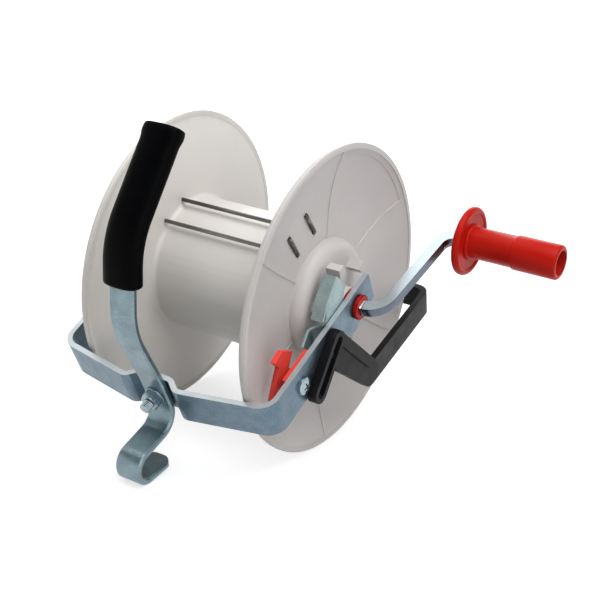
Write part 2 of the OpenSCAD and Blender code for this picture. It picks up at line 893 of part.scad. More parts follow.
// Flange on the crank side, with hub lugs, ribs and panel
module right_flange() {
    color("ivory")
        at_axle()
            difference() {
                union() {
                    difference() {
                        lathe()
                            flange_profile(right_in_x - end_gap - collar_t);
                        face_panel();
                    }
                    face_ribs();
                    for (i = [0:lug_count - 1])
                        rotate([lug_angle + i * 360 / lug_count, 0, 0])
                            translate([hub_x, lug_in_r, -lug_w / 2])
                                cube([lug_top_x - hub_x, lug_out_r - lug_in_r, lug_w]);
                }
                square_bore(drum_half - spigot_l, right_in_x);
                wire_runs(wire_d + 2 * slot_play, wire_leg + slot_play);
            }
}

// Flange on the free side
module left_flange() {
    color("ivory")
        at_axle()
            difference() {
                mirror([1, 0, 0]) {
                    lathe()
                        flange_profile(left_in_x - end_gap - collar_t);
                    face_ribs();
                }
                square_bore(-left_in_x, spigot_l - drum_half);
                for (i = [0, 1])
                    rotate([wire_angle - i * wire_pitch, 0, 0])
                        translate([0, wire_r, 0])
                            rod(wire_d + 2 * snug, -rim_x, 0);
            }
}

// Contact wires through both flanges, turned over on the crank side
module contact_wires() {
    color("silver")
        at_axle()
            wire_runs(wire_d, wire_leg);
}

// Square bar that is axle, crank arm and grip pin in one
module crank_bar() {
    color("silver")
        at_axle()
            rotate([crank_angle, 0, 0]) {
                translate([-axle_end_x, 0, 0])
                    run([
                        [axle_l, crank_turn, bar_bend], [crank_leg, -crank_turn, pin_bend],
                        [grip_stand / 2, 0, 0]
                    ])
                        flat(bar_side, bar_side);
                translate([0, crank_r, 0])
                    rod(pin_d, pin_x, pin_x + pin_l);
            }
}

// Grip axis
module at_grip() {
    at_axle()
        rotate([crank_angle, 0, 0])
            translate([0, crank_r, 0])
                children();
}

// Spinning grip with its guard disc
module crank_grip() {
    bore_r = pin_d / 2 + turn_gap;
    color("red")
        at_grip()
            lathe()
                polygon([
                    [bore_r, grip_x], [disc_d / 2 - edge, grip_x], [disc_d / 2, grip_x + 2 * edge],
                    [disc_d / 2, grip_x + disc_t - 2 * edge], [disc_d / 2 - edge, grip_x + disc_t],
                    [barrel_d / 2 + 2 * edge, grip_x + disc_t], [barrel_d / 2, grip_x + disc_t + 2 * edge],
                    [barrel_d / 2, step_x - edge], [step_d / 2 - edge, step_x], [step_d / 2, step_x + edge],
                    [step_d / 2, grip_end_x - 2 * edge], [step_d / 2 - 2 * edge, grip_end_x],
                    [mouth_d / 2 + edge, grip_end_x], [mouth_d / 2, grip_end_x - edge],
                    [mouth_d / 2, mouth_x], [bore_r, mouth_x]
                ]);
}

// Sheet clip that keeps the grip on its pin
module grip_clip() {
    color("silver")
        at_grip()
            lathe()
                translate([pin_d / 2 + snug, mouth_x + end_gap])
                    square([(mouth_d - pin_d) / 2 - end_gap - snug, clip_t]);
}

// Flanged bush in an arm, on the square bar
module bush(in_x, out_x) {
    difference() {
        union() {
            rod(sleeve_d, in_x - end_gap - collar_t, out_x + end_gap + bush_t / 2);
            ring(bush_d, bar_side, out_x + end_gap, out_x + end_gap + bush_t);
        }
        square_bore(in_x - end_gap - collar_t, out_x + end_gap + bush_t);
    }
}

// Bush in the right arm
module right_bush() {
    color("red")
        at_axle()
            bush(right_in_x, right_out_x);
}

// Collar between the right flange and the arm
module right_collar() {
    color("red")
        at_axle()
            ring(collar_d, sleeve_d + 2 * snug, right_in_x - end_gap - collar_t, right_in_x - end_gap);
}

// Bush in the left arm
module left_bush() {
    color("red")
        at_axle()
            mirror([1, 0, 0])
                bush(left_in_x, left_out_x);
}

// Collar between the left flange and the arm
module left_collar() {
    color("red")
        at_axle()
            mirror([1, 0, 0])
                ring(collar_d, sleeve_d + 2 * snug, left_in_x - end_gap - collar_t, left_in_x - end_gap);
}

// Sheet clip on the left end of the axle
module axle_clip() {
    clip_x = left_out_x + end_gap + bush_t;
    color("silver")
        at_axle()
            difference() {
                rod(clip_d, -clip_x - clip_t, -clip_x);
                square_bore(-clip_x - clip_t, -clip_x);
            }
}

// Cross-recess screw that the lock turns on
module lock_screw() {
    color("silver")
        in_frame()
            at_lock()
                difference() {
                    union() {
                        rod(screw_d, tab_x, right_out_x + over);
                        lathe()
                            translate([0, right_out_x])
                                intersection() {
                                    square([screw_head_d / 2, screw_head_h]);
                                    translate([0, screw_head_h - screw_head_d])
                                        circle(r = screw_head_d);
                                }
                    }
                    for (turn = [0, 90])
                        rotate([turn, 0, 0])
                            translate([right_out_x + screw_head_h - cross_depth, -cross_l / 2, -cross_w / 2])
                                cube([cross_depth + over, cross_l, cross_w]);
                }
}

// Nut on the inner end of the lock screw
module lock_nut() {
    color("silver")
        in_frame()
            at_lock()
                difference() {
                    translate([tab_x, 0, 0])
                        rotate([0, 90, 0])
                            cylinder(r = lock_nut_w / 2 / cos(180 / hex), h = lock_nut_h, $fn = hex);
                    rod(screw_d + 2 * snug, tab_x - over, nut_end_x + over);
                }
}

// Lock lever: plate by the arm and finger tab, joined by a bridge round the leaf
module lock_lever() {
    pocket_d = lock_nut_w / cos(180 / hex) + 2 * end_gap;
    color("red")
        in_frame()
            difference() {
                union() {
                    plate(bar_shares, lock_reach, bar_x, bar_x + lever_bar_t);
                    plate(bridge_shares, lock_reach, tab_x, bar_x + lever_bar_t);
                    plate(tab_shares, lock_reach, tab_x, tab_x + tab_t);
                    at_lock() {
                        rod(2 * lever_hub_r, tab_x, tab_x + tab_t);
                        rod(2 * lever_neck_r, tab_x, hub_end_x);
                        rod(2 * lever_hub_r, bar_x, bar_x + lever_bar_t);
                    }
                }
                at_lock() {
                    rod(screw_d + 2 * turn_gap, tab_x - over, right_out_x);
                    rod(pocket_d, tab_x - over, nut_end_x + end_gap);
                }
            }
}

// Leaf whose tongue drops between the lugs
module lock_leaf() {
    color("silver")
        in_frame()
            difference() {
                union() {
                    intersection() {
                        translate([leaf_x, -leaf_start_share * lock_reach, 0])
                            rotate([0, 0, 90])
                                run(leaf_steps)
                                    flat(leaf_t, lock_reach);
                        union() {
                            plate(leaf_shares, lock_reach, hub_x, right_out_x);
                            at_lock()
                                rod(2 * leaf_eye_r, hub_x, right_out_x);
                        }
                    }
                    plate(tongue_shares, lock_reach, tongue_x, web_x + leaf_t);
                }
                at_lock()
                    rod(screw_d + 2 * turn_gap, hub_x, right_out_x);
            }
}

// Plan of the guide leg between its two ends
module leg_plan(w) {
    run_x = guide_size * (leg_top_share[0] - leg_foot_share[0]);
    run_y = guide_size * (leg_top_share[1] - leg_foot_share[1]);
    length = norm([run_x, run_y]);
    translate(guide_size * leg_foot_share)
        rotate(atan2(run_y, run_x)) {
            circle(d = w);
            translate([0, -w / 2])
                square([length, w]);
            translate([length, 0])
                circle(d = w);
        }
}

// Plan extruded outwards from the arm
module on_arm(from_x, to_x) {
    translate([from_x, 0, 0])
        rotate([90, 0, 90])
            linear_extrude(to_x - from_x)
                children();
}

// Guide: leg with a channel, web, arm and the finger behind the flange
module wire_guide() {
    rim_run = web_rim_shares[1] - web_rim_shares[0];
    leg_end_x = guide_x + guide_leg_h;
    color("dimgray")
        in_frame()
            difference() {
                union() {
                    on_arm(guide_x, leg_end_x)
                        leg_plan(guide_leg_w);
                    plate(web_shares, guide_size, guide_x, guide_x + guide_t);
                    translate([0, guide_size * web_corner_share[0], guide_size * web_corner_share[1]])
                        rod(2 * web_round_share * guide_size, guide_x, guide_x + guide_t);
                    on_arm(guide_x, guide_x + guide_t + guide_rim_h)
                        translate(guide_size * web_rim_shares[0])
                            rotate(atan2(rim_run[1], rim_run[0]))
                                translate([guide_rim_inset, -guide_rim_inset - guide_rim_w])
                                    square([guide_size * norm(rim_run) - 2 * guide_rim_inset, guide_rim_w]);
                    translate([guide_x + guide_t / 2, guide_size * arm_share[0], guide_size * arm_share[1]])
                        rotate([-guide_slope, 0, 0])
                            rotate([0, 0, 90 + guide_lean])
                                run([[guide_arm_l, 90 - guide_lean, guide_bend], [finger_l, 0, 0]])
                                    flat(guide_t, guide_arm_w);
                }
                on_arm(leg_end_x - channel_depth, leg_end_x + over)
                    leg_plan(channel_w);
                for (spot = rivet_spots)
                    translate([0, spot[0], spot[1]])
                        rod(rivet_d + 2 * snug, right_out_x - over, leg_end_x + over);
            }
}

// Rivets in the channel of the guide
module guide_rivets() {
    seat_x = guide_x + guide_leg_h - channel_depth;
    color("silver")
        in_frame()
            for (spot = rivet_spots)
                translate([0, spot[0], spot[1]]) {
                    rod(rivet_d, right_in_x, seat_x + rivet_head_h);
                    rod(rivet_head_d, seat_x, seat_x + rivet_head_h);
                }
}

frame_yoke();
handle_strap();
handle_grip();
clamp_bolt();
clamp_washer();
clamp_nut();
drum_barrel();
right_flange();
left_flange();
contact_wires();
crank_bar();
crank_grip();
grip_clip();
right_bush();
right_collar();
left_bush();
left_collar();
axle_clip();
lock_screw();
lock_nut();
lock_lever();
lock_leaf();
wire_guide();
guide_rivets();
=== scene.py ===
import json
import math

import bmesh
import bpy
from mathutils import Matrix, Vector


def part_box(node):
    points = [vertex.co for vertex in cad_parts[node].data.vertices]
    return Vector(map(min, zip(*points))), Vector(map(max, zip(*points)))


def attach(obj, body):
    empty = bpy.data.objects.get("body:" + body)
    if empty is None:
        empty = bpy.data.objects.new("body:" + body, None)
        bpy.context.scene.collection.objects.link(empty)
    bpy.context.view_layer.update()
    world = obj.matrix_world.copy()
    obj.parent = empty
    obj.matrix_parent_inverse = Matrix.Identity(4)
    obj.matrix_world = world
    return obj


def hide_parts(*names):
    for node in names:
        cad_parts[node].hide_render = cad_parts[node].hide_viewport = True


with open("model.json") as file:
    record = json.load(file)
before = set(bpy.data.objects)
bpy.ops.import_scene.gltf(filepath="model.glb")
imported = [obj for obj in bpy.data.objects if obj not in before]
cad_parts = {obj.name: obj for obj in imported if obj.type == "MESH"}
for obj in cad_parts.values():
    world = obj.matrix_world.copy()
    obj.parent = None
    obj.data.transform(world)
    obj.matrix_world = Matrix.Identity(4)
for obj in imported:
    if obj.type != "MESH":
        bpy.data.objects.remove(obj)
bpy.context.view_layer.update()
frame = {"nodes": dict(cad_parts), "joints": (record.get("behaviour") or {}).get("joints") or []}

bl_info = {
    "name": "Fence reel looks",
    "version": (1, 0, 0),
    "blender": (4, 5, 0),
    "location": "View3D > Sidebar > Fence reel",
    "description": "Finishes for a hand reel for electric fence cord",
    "category": "Object",
}


def joint_place(name):
    """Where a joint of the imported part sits"""
    return Vector(next(joint for joint in frame["joints"] if joint["name"] == name)["pos_m"])


AXLE = joint_place("spool_spin")
PIN = joint_place("grip_spin")

# Rounded edges: gap that is welded first, steps of a rounding, and the angle past which an edge is rounded
WELD_GAP = 1e-6
EDGE_STEPS = 2
EDGE_ANGLE = math.radians(35)

# Grain of a surface: each noise with its usual scale, its detail and its roughness.
# The streaks run alike all ways, unless a finish stretches them.
GRAIN_NOISES = (
    ("Grain", 1500.0, 3.0, 0.60),
    ("Cloud", 35.0, 4.0, 0.55),
    ("Streak", 60.0, 4.0, 0.50),
)
EVEN = (1.0, 1.0, 1.0)

# How squarely a face looks along the way of a bar's faces with a painted highlight, where the painted
# highlight begins and is full
PAINTED_HIGHLIGHT_FROM = 0.45
PAINTED_HIGHLIGHT_FULL = 0.90

# Sockets of a colour mix, whose names repeat
MIX_MASK = 0
MIX_LOW = 6
MIX_HIGH = 7
MIX_COLOUR = 2

# Beads of the crank grip: points around a bead's ring and across its section, and how deep the root bead sits
BEAD_AROUND = 96
BEAD_ACROSS = 20
ROOT_BEAD_SHARE = 1 / 3

# Sleeve: points around it, spacing along it, and the power that squares its oval section
SLEEVE_AROUND = 56
SLEEVE_SPACING = 0.0018
SLEEVE_SQUARE = 0.80

# Rounded ends of the sleeve, as rings: how far each is drawn in, and how far it sits along from the end.
# The last ring before the top ones steps back by the drop, to leave room for them.
SLEEVE_FOOT_RINGS = ((0.0052, 0.0012), (0.0030, 0.0002), (0.0012, 0.0003), (0.0003, 0.0011))
SLEEVE_TOP_RINGS = ((-0.0001, -0.0004), (0.0008, 0.0), (0.0030, -0.0002), (0.0060, -0.0007))
SLEEVE_TOP_DROP = 0.0012

# Flare of the sleeve: shares of the lip's length in which it rises and falls, and what is left at its end
LIP_RISE_SHARE = 0.60
LIP_FALL_SHARE = 0.73
LIP_END_SHARE = 0.45

# Floor: its middle and flat reach, its sweep out and lift into a backdrop, its drop below the reel,
# and the points around it and the rows up its sweep
FLOOR_MIDDLE = 0.8
FLOOR_FLAT = 2.6
FLOOR_SWEEP = 1.4
FLOOR_LIFT = 1.7
FLOOR_DROP = 0.0002
FLOOR_AROUND = 96
FLOOR_ROWS = 16

# Glow of the floor, which is weaker near the reel so that its shadow shows, and the distances where it grows
GLOW_NEAR = 0.66
GLOW_FAR = 1.0
GLOW_FROM = 0.3
GLOW_FULL = 1.5

# Light of the room, and the soft boxes: place, width, height and power
ROOM_COLOUR = (0.93, 0.96, 1.0, 1.0)
ROOM_STRENGTH = 0.24
LAMP_AIM = Vector((0.0, 0.0, 0.12))
SOFT_BOXES = (
    ("overhead", (0.55, -0.15, 1.65), 1.4, 1.4, 22.0),
    ("top_left", (-0.9, 0.2, 1.7), 1.9, 1.9, 14.0),
    ("front_right", (1.7, -0.8, 0.9), 0.9, 0.9, 6.0),
    ("front_left", (-1.3, -1.4, 1.0), 1.0, 1.0, 1.0),
    ("behind", (-0.9, 1.6, 0.9), 1.4, 0.9, 9.0),
)

# Camera of the photograph: its lens, its place from the axle, and its right and up ways
SENSOR_WIDTH = 36.0
LENS_LENGTH = 75.35
EYE_FROM_AXLE = Vector((0.4947, -0.7276, 0.3452))
CAMERA_RIGHT = Vector((0.8379, 0.5441, 0.0428))
CAMERA_UP = Vector((-0.2406, 0.2979, 0.9238))


class FenceReelSizes(bpy.types.PropertyGroup):
    """Sizes of the pieces that are made here, leans of the bars and rounded edges"""

    sleeve_width: bpy.props.FloatProperty(
        name="Sleeve width", description="Width of the handle sleeve", default=0.029, unit="LENGTH")
    sleeve_depth: bpy.props.FloatProperty(
        name="Sleeve depth", description="Front to back size of the handle sleeve", default=0.017,
        unit="LENGTH")
    sleeve_lip: bpy.props.FloatProperty(
        name="Sleeve lip", description="Flare at the free end of the sleeve", default=0.0009, unit="LENGTH")
    lip_length: bpy.props.FloatProperty(
        name="Lip length", description="Length of the flared end of the sleeve", default=0.012, unit="LENGTH")
    sleeve_straight: bpy.props.FloatProperty(
        name="Sleeve straight", description="Straight length of the sleeve", default=0.0615, unit="LENGTH")
    sleeve_tuck: bpy.props.FloatProperty(
        name="Sleeve tuck", description="Length of the sleeve below its bend", default=0.013, unit="LENGTH")
    sleeve_bend: bpy.props.FloatProperty(
        name="Sleeve bend", description="Bend radius of the handle", default=0.060, unit="LENGTH")
    sleeve_lean: bpy.props.FloatProperty(
        name="Sleeve lean", description="Lean of the handle", default=math.radians(33.5), subtype="ANGLE")
    frame_lean: bpy.props.FloatProperty(
        name="Frame lean", description="Lean of the frame's flat bar", default=math.radians(26.5),
        subtype="ANGLE")
    crank_angle: bpy.props.FloatProperty(
        name="Crank angle", description="Angle of the crank about the axle", default=math.radians(29.7),
        subtype="ANGLE")
    guard_size: bpy.props.FloatProperty(
        name="Guard size", description="Diameter of the guard disc of the crank grip", default=0.051,
        unit="LENGTH")
    guard_thickness: bpy.props.FloatProperty(
        name="Guard thickness", description="Thickness of the guard disc", default=0.0044, unit="LENGTH")
    rim_bead: bpy.props.FloatProperty(
        name="Rim bead", description="Radius of the rolled rim of the guard disc", default=0.0027,
        unit="LENGTH")
    barrel_size: bpy.props.FloatProperty(
        name="Barrel size", description="Diameter of the barrel of the crank grip", default=0.0234,
        unit="LENGTH")
    root_bead: bpy.props.FloatProperty(
        name="Root bead", description="Radius of the bead at the root of the barrel", default=0.0019,
        unit="LENGTH")
    bar_edge: bpy.props.FloatProperty(
        name="Bar edge", description="Rounding of the bars' edges", default=0.0008, unit="LENGTH")
    leaf_edge: bpy.props.FloatProperty(
        name="Leaf edge", description="Rounding of the lock leaf's edges", default=0.0004, unit="LENGTH")
    fastener_edge: bpy.props.FloatProperty(
        name="Fastener edge", description="Rounding of the fasteners' edges", default=0.00025, unit="LENGTH")
    moulded_edge: bpy.props.FloatProperty(
        name="Moulded edge", description="Rounding of the moulded edges", default=0.0007, unit="LENGTH")


class FenceReelColours(bpy.types.PropertyGroup):
    """Colours of the finishes"""

    zinc: bpy.props.FloatVectorProperty(
        name="Zinc", description="Zinc plating of the frame", subtype="COLOR", default=(0.165, 0.23, 0.28))
    zinc_dull: bpy.props.FloatVectorProperty(
        name="Dull zinc", description="Duller patches of the frame's plating", subtype="COLOR",
        default=(0.105, 0.155, 0.197))
    # Painted highlight on the edges of the frame's flat bar
    edge_painted_highlight: bpy.props.FloatVectorProperty(
        name="Edge painted highlight", description="Bright edges of the frame's flat bar", subtype="COLOR",
        default=(0.52, 0.56, 0.58))
    strap: bpy.props.FloatVectorProperty(
        name="Strap zinc", description="Zinc plating of the handle strap", subtype="COLOR",
        default=(0.222, 0.306, 0.342))
    strap_dull: bpy.props.FloatVectorProperty(
        name="Dull strap zinc", description="Duller patches of the strap's plating", subtype="COLOR",
        default=(0.155, 0.208, 0.225))
    # Painted highlight on the crank bar's faces that look across it
    bright: bpy.props.FloatVectorProperty(
        name="Crank painted highlight", description="Brighter faces of the crank bar", subtype="COLOR",
        default=(0.61, 0.69, 0.73))
    # Painted shade: a darker zinc on the crank bar's other faces
    crank_painted_shade: bpy.props.FloatVectorProperty(
        name="Crank painted shade", description="Duller sides of the crank bar", subtype="COLOR",
        default=(0.14, 0.167, 0.207))
    leaf: bpy.props.FloatVectorProperty(
        name="Leaf", description="Dull plating of the lock leaf", subtype="COLOR",
        default=(0.43, 0.53, 0.535))
    fastener: bpy.props.FloatVectorProperty(
        name="Fastener", description="Bolts, nuts, clips and rivets", subtype="COLOR",
        default=(0.36, 0.44, 0.48))
    wire: bpy.props.FloatVectorProperty(
        name="Wire", description="Contact wires", subtype="COLOR", default=(0.25, 0.24, 0.215))
    white: bpy.props.FloatVectorProperty(
        name="White plastic", description="Drum and free side flange", subtype="COLOR",
        default=(0.785, 0.75, 0.705))
    white_cool: bpy.props.FloatVectorProperty(
        name="Cool white", description="Cooler patches of the drum and the free side flange", subtype="COLOR",
        default=(0.74, 0.71, 0.673))
    # Painted shade: the crank side flange takes a darker copy of the same off-white
    crank_flange_painted_shade: bpy.props.FloatVectorProperty(
        name="Crank flange painted shade", description="Crank side flange", subtype="COLOR",
        default=(0.655, 0.619, 0.60))
    crank_flange_painted_shade_cool: bpy.props.FloatVectorProperty(
        name="Cool crank flange painted shade", description="Cooler patches of the crank side flange", subtype="COLOR",
        default=(0.61, 0.583, 0.57))
    red: bpy.props.FloatVectorProperty(
        name="Red plastic", description="Crank grip, bushes and collars", subtype="COLOR",
        default=(0.55, 0.0118, 0.0046))
    red_deep: bpy.props.FloatVectorProperty(
        name="Deep red", description="Deeper patches of the red", subtype="COLOR",
        default=(0.47, 0.0096, 0.0039))
    # Painted light: a paler copy of the red for the lever, which sits in the frame's shade
    lever_red_painted_light: bpy.props.FloatVectorProperty(
        name="Lever red, painted light", description="Lock lever", subtype="COLOR", default=(0.93, 0.075, 0.055))
    black: bpy.props.FloatVectorProperty(
        name="Black sleeve", description="Handle sleeve", subtype="COLOR", default=(0.0009, 0.0010, 0.0013))
    dark: bpy.props.FloatVectorProperty(
        name="Dark plastic", description="Wire guide", subtype="COLOR", default=(0.008, 0.008, 0.0095))
    floor: bpy.props.FloatVectorProperty(
        name="Floor", description="Floor and backdrop", subtype="COLOR", default=(0.56, 0.56, 0.56))


def grain_group():
    """Fine grain, slow cloud and streaks from drawing the metal, over a surface"""
    group = bpy.data.node_groups.get("Surface grain")
    if group:
        return group
    group = bpy.data.node_groups.new("Surface grain", "ShaderNodeTree")
    face = group.interface
    for name, scale, *_ in GRAIN_NOISES:
        face.new_socket(name, in_out="INPUT", socket_type="NodeSocketFloat").default_value = scale
    face.new_socket("Stretch", in_out="INPUT", socket_type="NodeSocketVector")
    for name, *_ in GRAIN_NOISES:
        face.new_socket(name, in_out="OUTPUT", socket_type="NodeSocketFloat")
    nodes, links = group.nodes, group.links
    given = nodes.new("NodeGroupInput")
    made = nodes.new("NodeGroupOutput")
    place = nodes.new("ShaderNodeTexCoord")
    stretch = nodes.new("ShaderNodeVectorMath")
    stretch.operation = "MULTIPLY"
    links.new(place.outputs["Object"], stretch.inputs[0])
    links.new(given.outputs["Stretch"], stretch.inputs[1])
    for name, _, detail, rough in GRAIN_NOISES:
        noise = nodes.new("ShaderNodeTexNoise")
        noise.inputs["Detail"].default_value = detail
        noise.inputs["Roughness"].default_value = rough
        where = stretch.outputs["Vector"] if name == "Streak" else place.outputs["Object"]
        links.new(where, noise.inputs["Vector"])
        links.new(given.outputs[name], noise.inputs["Scale"])
        links.new(noise.outputs["Fac"], made.inputs[name])
    return group


def painted_highlight_group():
    """Mask of a painted highlight on the faces of a bar that look along a way, to either side"""
    group = bpy.data.node_groups.get("Painted highlight faces")
    if group:
        return group
    group = bpy.data.node_groups.new("Painted highlight faces", "ShaderNodeTree")
    group.interface.new_socket("Way", in_out="INPUT", socket_type="NodeSocketVector")
    group.interface.new_socket("Mask", in_out="OUTPUT", socket_type="NodeSocketFloat")
    nodes, links = group.nodes, group.links
    given = nodes.new("NodeGroupInput")
    made = nodes.new("NodeGroupOutput")
    place = nodes.new("ShaderNodeTexCoord")
    along = nodes.new("ShaderNodeVectorMath")
    along.operation = "DOT_PRODUCT"
    links.new(place.outputs["Normal"], along.inputs[0])
    links.new(given.outputs["Way"], along.inputs[1])
    either = nodes.new("ShaderNodeMath")
    either.operation = "ABSOLUTE"
    links.new(along.outputs["Value"], either.inputs[0])
    mask = spread(nodes, links, either.outputs["Value"], 0.0, 1.0, start=PAINTED_HIGHLIGHT_FROM, end=PAINTED_HIGHLIGHT_FULL)
    links.new(mask, made.inputs["Mask"])
    return group


def blank_material(name):
    """A new material with only the Principled shader"""
    made = bpy.data.materials.new(name)
    made.use_nodes = True
    nodes, links = made.node_tree.nodes, made.node_tree.links
    return made, nodes, links, nodes["Principled BSDF"]


def toned(colour, share):
    """A colour made darker or paler by a share"""
    return tuple(share * part for part in colour)


def mixed(nodes, links, mask, low, high):
    """A colour between two, by a mask; the low one can be the colour that another node puts out"""
    mix = nodes.new("ShaderNodeMix")
    mix.data_type = "RGBA"
    links.new(mask, mix.inputs[MIX_MASK])
    if isinstance(low, bpy.types.NodeSocket):
        links.new(low, mix.inputs[MIX_LOW])
    else:
        mix.inputs[MIX_LOW].default_value = (*low, 1.0)
    mix.inputs[MIX_HIGH].default_value = (*high, 1.0)
    return mix.outputs[MIX_COLOUR]


def spread(nodes, links, value, low, high, start=0.3, end=0.7):
    """A value stretched to a new range, from the middle range of a noise or from another"""
    ramp = nodes.new("ShaderNodeMapRange")
    ramp.inputs["From Min"].default_value = start
    ramp.inputs["From Max"].default_value = end
    ramp.inputs["To Min"].default_value = low
    ramp.inputs["To Max"].default_value = high
    links.new(value, ramp.inputs["Value"])
    return ramp.outputs["Result"]


def bumped(nodes, links, height, shader, distance, strength):
    """A bump on a shader from a height"""
    bump = nodes.new("ShaderNodeBump")
    bump.inputs["Distance"].default_value = distance
    bump.inputs["Strength"].default_value = strength
    links.new(height, bump.inputs["Height"])
    links.new(bump.outputs["Normal"], shader.inputs["Normal"])


def grained(nodes, grain, cloud, streak, stretch=EVEN):
    """The grain group, placed with its own scales"""
    made = nodes.new("ShaderNodeGroup")
    made.node_tree = grain_group()
    made.inputs["Grain"].default_value = grain
    made.inputs["Cloud"].default_value = cloud
    made.inputs["Streak"].default_value = streak
    made.inputs["Stretch"].default_value = stretch
    return made


def zinc_finish(name, low, high, rough=(0.30, 0.44), way=None, bright=None):
    """Zinc plating on steel, with a painted highlight on the faces that look along a way"""
    made, nodes, links, shader = blank_material(name)
    grain = grained(nodes, grain=900.0, cloud=95.0, streak=70.0)
    blend = nodes.new("ShaderNodeMath")
    blend.operation = "ADD"
    links.new(grain.outputs["Cloud"], blend.inputs[0])
    links.new(grain.outputs["Grain"], blend.inputs[1])
    patches = spread(nodes, links, blend.outputs["Value"], 0.0, 1.0, start=0.75, end=1.25)
    colour = mixed(nodes, links, patches, low, high)
    # Painted highlight on the faces that look along the way
    if way:
        faces = nodes.new("ShaderNodeGroup")
        faces.node_tree = painted_highlight_group()
        faces.inputs["Way"].default_value = way
        colour = mixed(nodes, links, faces.outputs["Mask"], colour, bright)
    links.new(colour, shader.inputs["Base Color"])
    links.new(spread(nodes, links, grain.outputs["Streak"], *rough), shader.inputs["Roughness"])
    shader.inputs["Metallic"].default_value = 0.92
    bumped(nodes, links, grain.outputs["Grain"], shader, distance=0.00012, strength=0.22)
    return made


def wire_finish(name, low, high):
    """Dull steel wire with streaks along its length"""
    made, nodes, links, shader = blank_material(name)
    grain = grained(nodes, grain=2500.0, cloud=60.0, streak=120.0, stretch=(0.15, 1.0, 1.0))
    streaks = spread(nodes, links, grain.outputs["Streak"], 0.0, 1.0)
    links.new(mixed(nodes, links, streaks, low, high), shader.inputs["Base Color"])
    links.new(spread(nodes, links, grain.outputs["Cloud"], 0.16, 0.28), shader.inputs["Roughness"])
    shader.inputs["Metallic"].default_value = 1.0
    bumped(nodes, links, grain.outputs["Grain"], shader, distance=0.00008, strength=0.2)
    return made


def plastic_finish(name, low, high, rough, skin, gloss, cloud, grain=1400.0):
    """Moulded plastic with a fine skin"""
    made, nodes, links, shader = blank_material(name)
    shader.inputs["Specular IOR Level"].default_value = gloss
    surface = grained(nodes, grain=grain, cloud=cloud, streak=90.0)
    patches = spread(nodes, links, surface.outputs["Cloud"], 0.0, 1.0)
    links.new(mixed(nodes, links, patches, low, high), shader.inputs["Base Color"])
    links.new(spread(nodes, links, surface.outputs["Streak"], *rough), shader.inputs["Roughness"])
    bumped(nodes, links, surface.outputs["Grain"], shader, distance=0.0001, strength=skin)
    return made


def floor_finish(name, colour):
    """Pale floor that takes shadows, and glows only for what looks at it"""
    made, nodes, links, shader = blank_material(name)
    shader.inputs["Roughness"].default_value = 0.9
    shader.inputs["Specular IOR Level"].default_value = 0.0
    shader.inputs["Base Color"].default_value = (*colour, 1.0)
    place = nodes.new("ShaderNodeTexCoord")
    away = nodes.new("ShaderNodeVectorMath")
    away.operation = "LENGTH"
    links.new(place.outputs["Object"], away.inputs[0])
    strength = spread(nodes, links, away.outputs["Value"], GLOW_NEAR, GLOW_FAR,
                      start=GLOW_FROM, end=GLOW_FULL)
    glow = nodes.new("ShaderNodeEmission")
    glow.inputs["Color"].default_value = (1.0, 1.0, 1.0, 1.0)
    links.new(strength, glow.inputs["Strength"])
    glowing = nodes.new("ShaderNodeAddShader")
    links.new(shader.outputs["BSDF"], glowing.inputs[0])
    links.new(glow.outputs["Emission"], glowing.inputs[1])
    path = nodes.new("ShaderNodeLightPath")
    looked_at = path.outputs["Is Camera Ray"]
    for ray in ("Is Glossy Ray", "Is Transmission Ray"):
        either = nodes.new("ShaderNodeMath")
        either.operation = "MAXIMUM"
        links.new(looked_at, either.inputs[0])
        links.new(path.outputs[ray], either.inputs[1])
        looked_at = either.outputs["Value"]
    pick = nodes.new("ShaderNodeMixShader")
    links.new(looked_at, pick.inputs["Fac"])
    links.new(shader.outputs["BSDF"], pick.inputs[1])
    links.new(glowing.outputs["Shader"], pick.inputs[2])
    links.new(pick.outputs["Shader"], nodes["Material Output"].inputs["Surface"])
    return made


def dress(names, finish, edge):
    """Gives CAD nodes a finish, and rounds their edges where they have a rounding"""
    for name in names:
        piece = frame["nodes"][name]
        piece.data.materials.clear()
        piece.data.materials.append(finish)
        weld = piece.modifiers.new("Weld", "WELD")
        weld.merge_threshold = WELD_GAP
        if edge > 0:
            bevel = piece.modifiers.new("Edges", "BEVEL")
            bevel.width = edge
            bevel.segments = EDGE_STEPS
            bevel.limit_method = "ANGLE"
            bevel.angle_limit = EDGE_ANGLE
            bevel.harden_normals = True
            bevel.use_clamp_overlap = True


def across_bar(lean):
    """The way across a bar that leans about the axle"""
    return (0.0, -math.sin(lean), math.cos(lean))


def join_rings(mesh, one, two):
    """Smooth faces between two rings of points"""
    for k in range(len(one)):
        n = (k + 1) % len(one)
        mesh.faces.new((one[k], one[n], two[n], two[k])).smooth = True


def new_piece(scene, name, mesh, finish):
    """An object with a finish, from a mesh that is then done with"""
    data = bpy.data.meshes.new(name)
    mesh.to_mesh(data)
    mesh.free()
    data.materials.append(finish)
    piece = bpy.data.objects.new(name, data)
    scene.collection.objects.link(piece)
    return piece


def bead_ring(bead, reach, along):
    """A round bead about the grip's pin: its own radius, its ring's radius and its place along the pin"""
    mesh = bmesh.new()
    loops = []
    for k in range(BEAD_AROUND):
        a = 2 * math.pi * k / BEAD_AROUND
        loop = []
        for m in range(BEAD_ACROSS):
            b = 2 * math.pi * m / BEAD_ACROSS
            r = reach + bead * math.cos(b)
            place = Vector((along + bead * math.sin(b), r * math.cos(a), r * math.sin(a)))
            loop.append(mesh.verts.new(PIN + place))
        loops.append(loop)
    for k in range(BEAD_AROUND):
        join_rings(mesh, loops[k], loops[(k + 1) % BEAD_AROUND])
    bmesh.ops.recalc_face_normals(mesh, faces=mesh.faces)
    return mesh


